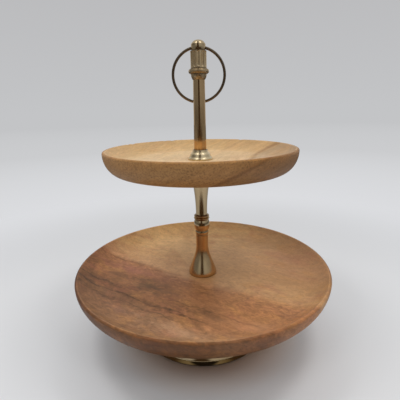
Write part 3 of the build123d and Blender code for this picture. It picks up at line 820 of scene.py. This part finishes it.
def feltRing(pad):
    # flat ring with soft edges, frayed in and out a little round its length
    bottom, top, radius = nodeSpan("foot_pad")
    inner, columns = pad["innerRadius"], pad["columns"]
    corners = [(inner, bottom), (radius, bottom), (radius, top), (inner, top)]
    runs = [cornerRun(corners[k - 1], corners[k], corners[(k + 1) % 4], pad["edge"]) for k in range(4)]
    path = joinRuns(*runs, step=0.8)
    grid = turnedGrid(path, columns)
    fray = np.random.default_rng(pad["seed"]).uniform(0, 1, (len(path), columns)) * pad["fray"]
    fromMiddle = (path[:, :1] - (inner + radius) / 2) / ((radius - inner) / 2)  # from -1 to 1 across the ring
    grid[..., :2] *= (1 - fray * fromMiddle ** 3 / radius)[..., None]
    piece = dressPiece("feltRing", grid, felt, "stand", "foot_pad")
    return piece


feltRing(feltShape)

# the finial keeps its drilled CAD mesh, and the fasteners keep theirs
for node in ("finial", "tie_bolt", "flat_washer", "lock_washer", "column_stud", "handle_stud"):
    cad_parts[node].data.materials.clear()
    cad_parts[node].data.materials.append(brass if node == "finial" else steel)

finialSeam = 1.3  # mm over which its tarnish fades away from the top of the capital
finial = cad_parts["finial"].data
place = np.empty(3 * len(finial.vertices), np.float32)
finial.vertices.foreach_get("co", place)
height = place[2::3] / mm
seamAndShade = np.exp(-np.abs(height - nodeSpan("capital")[1]) / finialSeam)
addFields(finial, {"along": height, "seamAndShade": seamAndShade})
print("brass column, ring and felt made")


# Stage: floor, soft lamps, backdrop, and the room that only the brass mirrors

darkRoom = "#3E3022"  # in front of the stand
floorLook = {  # distances in m from the column
    "radii": [6000.0, 3000.0, 1500.0, 700.0, 300.0, 0.0], "columns": 96,  # mm
    "bounceNearFoot": [(0.07, "#D2BCA9"), (0.12, "#DEDFE1")],  # painted warm bounce light beside the foot, and the plain floor away from it
    "blend": (0.3, 0.7),  # where its own shading gives way to the backdrop's glow
    "glow": [(0.0, "#DCDDE0"), (0.25, "#CBCCCE"), (1.0, "#C3C4C6")], "glowRange": (0.6, 6.0),
    "tableEdge": (-0.352, 0.025), "tableBend": 0.5,  # mirrored table's front edge, its softness and its bend
    "roomWedge": (0.6, 1.4),  # the dark past that edge ends where sideways over forwards is this much
    "footOval": (0.1, 0.1, 0.1), "ovalFade": (0.7, 0.95),  # mirrored by the foot: place, half width and depth
    "footTones": [(0.21, "#1C1712"), (0.26, "#7A705C"), (0.34, "#6C624E"), (0.44, darkRoom)],  # outwards
    "tableTones": [(0.1, 0.1), (0.25, 0.1), (0.5, 0.22)], "tableReach": 6.0,  # by share of this reach
    "tableBlend": (0.2, 0.8, 0.1, 1.0),  # from near to far, and the share of the table that the brass mirrors
}


def addFloor(look):
    # flat disc: camera and light see a pale floor that blends into the backdrop, and the brass mirrors a dim
    # table with a dark room past its front edge and an oval in front of the foot
    material, add, place = newMaterial("paleFloor")
    axes = add("SeparateXYZ", (place,)).node.outputs
    far = add("VectorMath LENGTH", (place,), "Value")
    # warmer beside the foot: painted bounce light from the wood and brass
    matt = add("BsdfDiffuse", (add("ValToRGB", (far,), stops=look["bounceNearFoot"]),))
    away = add("MapRange", (far, *look["glowRange"]))
    glow = add("Emission", (add("ValToRGB", (away,), stops=look["glow"]),))
    blend = add("MapRange SMOOTHSTEP", (far, *look["blend"]))
    pale = add("MixShader", (blend, matt, glow))

    edge, soft = look["tableEdge"]
    square = add("Math MULTIPLY", (axes[0], axes[0]))
    bent = add("Math MULTIPLY_ADD", (square, -look["tableBend"], axes[1]))
    past = add("MapRange SMOOTHSTEP", (bent, edge - soft, edge + soft, 1.0, 0.0))
    aside = add("Math DIVIDE", (axes[0], axes[1]))
    ratio = add("Math ABSOLUTE", (aside,))
    facing = add("MapRange SMOOTHSTEP", (ratio, *look["roomWedge"], 1.0, 0.0))
    beyond = add("Math MULTIPLY", (past, facing))

    ahead, halfWide, halfDeep = look["footOval"]
    oval = add("Mapping", {
        "Vector": place, "Location": (0, ahead / halfDeep, 0), "Scale": (1 / halfWide, 1 / halfDeep, 0)})
    reach = add("VectorMath LENGTH", (oval,), "Value")
    patch = add("MapRange SMOOTHSTEP", (reach, *look["ovalFade"], 1.0, 0.0))
    ringed = add("ValToRGB", (reach,), stops=look["footTones"])
    shown = add("Mix RGBA", {0: beyond, 6: ringed, 7: darkRoom}, 2)
    room = add("Emission", (shown,))
    roomShare = add("Math MAXIMUM", (beyond, patch))

    distance = add("MapRange", (far, 0.0, look["tableReach"]))
    table = add("Emission", (add("ValToRGB", (distance,), stops=look["tableTones"]),))
    tableShare = add("MapRange", (far, *look["tableBlend"]))
    mirrors = add("LightPath", output="Is Glossy Ray")
    surface = pale
    for share, seen in ((tableShare, table), (roomShare, room)):
        mirrored = add("Math MULTIPLY", (share, mirrors))
        surface = add("MixShader", (mirrored, surface, seen))
    add("OutputMaterial", (surface,))

    path = np.column_stack([look["radii"], np.zeros(len(look["radii"]))])
    floor = gridObject("paleFloor", turnedGrid(path, look["columns"]), material)


lampLook = {
    "lamps": [((270.0, -90.0, 760.0), 1.0), ((300.0, -480.0, 560.0), 0.55)],  # mm and watts
    "size": 160.0, "aim": (0, 0, 150.0),  # mm
}


def addLamps(look):
    # pairs of small soft lamps, left and right, above the stand and above its front, which the brass
    # doesn't mirror
    for (x, y, z), power in look["lamps"]:
        for side in (-1, 1):
            data = bpy.data.lights.new("softLamp", "AREA")
            data.energy = power
            data.size = look["size"] * mm
            lamp = bpy.data.objects.new("softLamp", data)
            place = Vector((side * x, y, z)) * mm
            lamp.location = place
            lamp.rotation_euler = (Vector(look["aim"]) * mm - place).to_track_quat("-Z", "Y").to_euler()
            lamp.visible_glossy = False
            scene.collection.objects.link(lamp)


tentLook = {  # each direction is a unit vector, and these are ranges of its parts
    "sweep": [(0.0, "#C3C4C6"), (0.35, "#B9B9BB")],  # what the camera sees, by height
    "walls": [(0.15, 0.0), (0.85, 1.0), (0.35, 0.33), (0.65, 0.33)], "wallGain": 1.2,  # light, front to back
    "ceiling": (0.75, 0.75, 0.75, 1.0), "ceilingFrom": (0.5, 0.8),  # light from above
    # mirrored walls by height, first, last and between
    "leftWall": [(0.0, 0.13), (0.95, 0.6), (0.04, 0.21), (0.1, 0.24), (0.3, 0.45), (0.6, 0.48)],
    "rightWall": [(0.0, 0.22), (0.95, 0.6), (0.04, 0.31), (0.1, 0.34), (0.3, 0.44), (0.6, 0.46)],
    "backWall": [(0.0, 0.6), (0.95, 0.6), (0.35, 0.5)],
    "leftToRight": (-0.25, 0.25), "sideToBack": (0.2, 0.95),  # where one wall turns into the next
    "wallFade": [(0.0, 0.3), (1.0, 0.6), (0.1, 0.3), (0.22, 1.0), (0.8, 1.0)],  # share from left to right,
    "fadeFrom": (0.05, 0.25),  # from this height upwards
    "spot": (0.33, -0.11, 0.0), "spotSize": (0.2, 0.1), "spotGlow": (2.2, 2.2, 2.2, 1.0),  # mirrored lamps
    "roomSide": -0.08, "roomSoft": 0.1, "roomFront": (0.08, -0.08),  # middle and edges of the dark room,
    "roomWidths": [(0.0, 0.27), (0.95, 0.08), (0.15, 0.24), (0.3, 0.21), (0.75, 0.2)],  # half, by height
}


def addWorld(look):
    # camera sees a plain pale sweep; the object is lit by a tent that is dimmer at the sides and dark in
    # front, and the brass mirrors one that brightens upwards and backwards round the dark room in front
    scene.world = bpy.data.worlds.new("studioTent")
    add = emptyTree(scene.world)
    x, y, height = add("SeparateXYZ", (add("TexCoord", output="Generated"),)).node.outputs
    sweep = add("ValToRGB", (height,), stops=look["sweep"])

    frontBack = add("MapRange", (y, -1.0, 1.0))
    walls = add("ValToRGB", (frontBack,), stops=look["walls"])
    bright = add("VectorMath SCALE", {0: walls, "Scale": look["wallGain"]})
    upness = add("MapRange", (height, *look["ceilingFrom"]))
    light = add("Mix RGBA", {0: upness, 6: bright, 7: look["ceiling"]}, 2)

    left, right, behind = (
        add("ValToRGB", (height,), stops=look[key]) for key in ("leftWall", "rightWall", "backWall"))
    sideways = add("MapRange", (x, *look["leftToRight"]))
    sides = add("Mix RGBA", {0: sideways, 6: left, 7: right}, 2)
    fromLeft = add("MapRange", (x, -1.0, 1.0))
    further = add("ValToRGB", (fromLeft,), stops=look["wallFade"])
    raised = add("MapRange", (height, *look["fadeFrom"]))
    dimmer = add("Mix", {0: raised, 2: 1.0, 3: further})
    fading = add("VectorMath SCALE", {0: sides, "Scale": dimmer})
    backwards = add("MapRange", (y, *look["sideToBack"]))
    tentWall = add("Mix RGBA", {0: backwards, 6: fading, 7: behind}, 2)

    wide = add("Math ABSOLUTE", (x,))
    apart = add("CombineXYZ", (wide, y))
    offset = add("VectorMath DISTANCE", (apart, look["spot"]), "Value")
    spot = add("MapRange SMOOTHSTEP", (offset, *look["spotSize"]))
    lit = add("Mix RGBA", {0: spot, 6: tentWall, 7: look["spotGlow"]}, 2)

    aside = add("Math SUBTRACT", (x, look["roomSide"]))
    off = add("Math ABSOLUTE", (aside,))
    halfWidth = add("ValToRGB", (height,), stops=look["roomWidths"])
    past = add("Math SUBTRACT", (off, halfWidth))
    soft = look["roomSoft"]
    within = add("MapRange SMOOTHSTEP", (past, -soft, soft, 1.0, 0.0))
    ahead = add("MapRange", (y, *look["roomFront"]))
    room = add("Math MULTIPLY", (within, ahead))
    mirrored = add("Mix RGBA", {0: room, 6: lit, 7: darkRoom}, 2)

    rays = add("LightPath").node.outputs
    tent = add("Mix RGBA", {0: rays["Is Glossy Ray"], 6: light, 7: mirrored}, 2)
    seen = add("Mix RGBA", {0: rays["Is Camera Ray"], 6: tent, 7: sweep}, 2)
    add("OutputWorld", (add("Background", (seen,)),))


addFloor(floorLook)
addLamps(lampLook)
addWorld(tentLook)
print("stage set")
